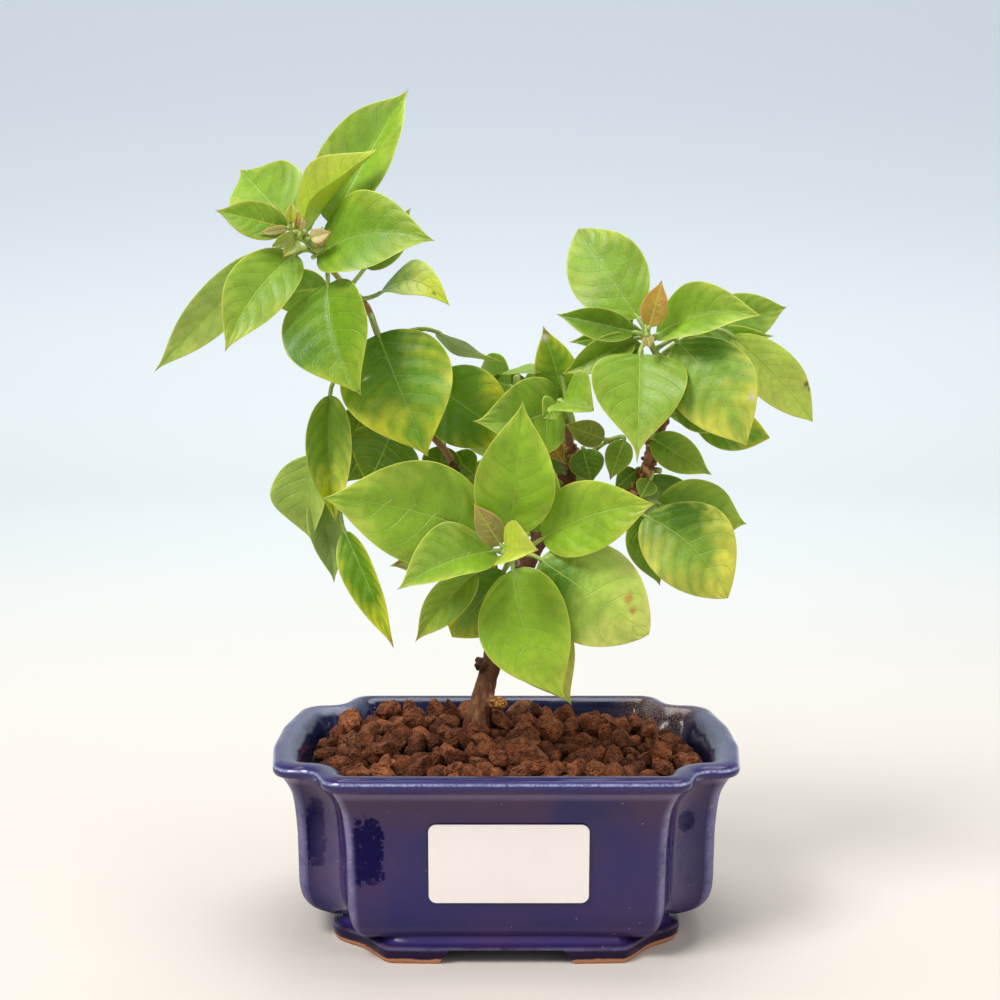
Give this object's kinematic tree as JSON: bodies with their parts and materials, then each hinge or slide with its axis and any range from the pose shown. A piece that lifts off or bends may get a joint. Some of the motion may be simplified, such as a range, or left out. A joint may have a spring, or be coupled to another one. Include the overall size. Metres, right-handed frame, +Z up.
{
  "type": "bougainvillea bonsai in a glazed pot",
  "caption": "Small leafy bougainvillea bonsai with a slanting trunk, planted in lava grit in an oblong glazed pot with stepped corners, a flared lip and low feet.",
  "frame": {"origin": "centre of the whole plant and pot's bounding box, on the surface that the feet stand on", "axes": "+Z up; +X along the pot's long side, to the right as seen from the labelled front; -Y toward the labelled front"},
  "size_m": [0.1793, 0.0963, 0.222],
  "materials": {
    "cobalt_glaze": "glossy cobalt glaze, unglazed under the feet",
    "screen_plastic": "matt",
    "lava_grit": "rough, porous",
    "bark": "rough bark",
    "green_leaf": "soft sheen, translucent",
    "young_leaf": "soft sheen, translucent",
    "white_label": "smooth sticker"
  },
  "bodies": {
    "root": {"pot": "cobalt_glaze", "drain_screen_left": "screen_plastic", "drain_screen_right": "screen_plastic", "soil": "lava_grit", "trunk_and_branches": "bark", "leafy_stem_left": "green_leaf", "leafy_stem_front": "green_leaf", "leafy_stem_middle": "green_leaf", "leafy_stem_right": "green_leaf", "leafy_stem_back": "green_leaf", "young_shoot_left": "young_leaf", "young_shoot_front": "young_leaf", "young_shoot_middle": "young_leaf", "young_shoot_twig": "young_leaf", "young_shoot_right": "young_leaf", "label": "white_label"}
  },
  "joints": []
}
